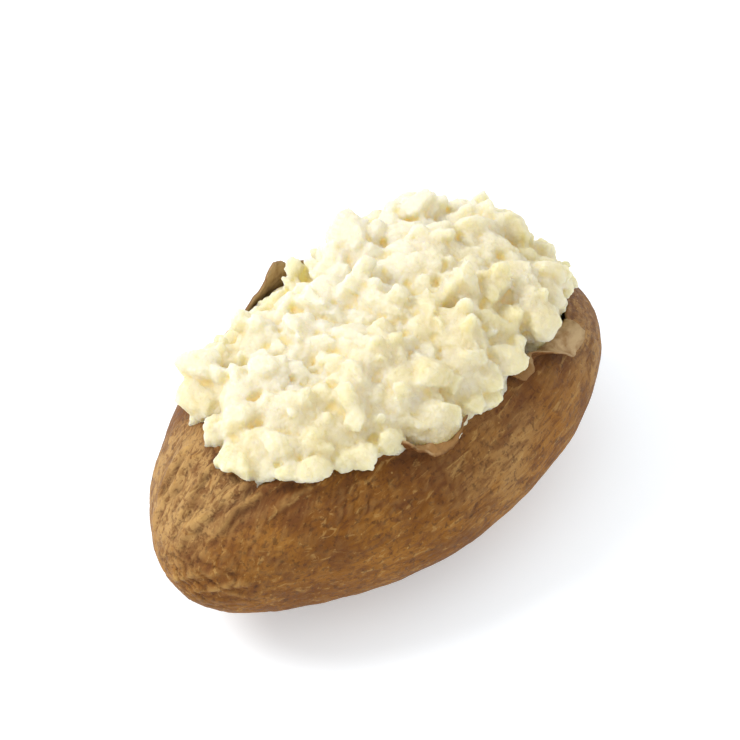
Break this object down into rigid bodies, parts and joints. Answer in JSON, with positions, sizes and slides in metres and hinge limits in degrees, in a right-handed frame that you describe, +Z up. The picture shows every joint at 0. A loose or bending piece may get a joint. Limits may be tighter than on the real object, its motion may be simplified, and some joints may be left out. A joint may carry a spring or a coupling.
{
  "type": "baked potato",
  "caption": "Baked potato split open along the top, its thin wrinkled brown skin holding fluffed pale flesh heaped up over the torn lip. Rests on its rounded underside.",
  "frame": {"origin": "in the plane of the flat spot that the potato rests on, under the middle of its bounding box", "axes": "+X along the potato towards its fuller end, +Y across it towards the side where the opening reaches lower, +Z up out of the opening"},
  "size_m": [0.129, 0.0792, 0.0603],
  "materials": {
    "baked_skin": "dry baked potato skin, semi-matte, mottled russet brown, wrinkled at one end",
    "fluffed_flesh": "moist crumbly cooked potato flesh, cream to pale yellow, matte with light scattered inside it"
  },
  "bodies": {
    "root": {"potato_skin": "baked_skin", "potato_flesh": "fluffed_flesh"}
  },
  "joints": []
}
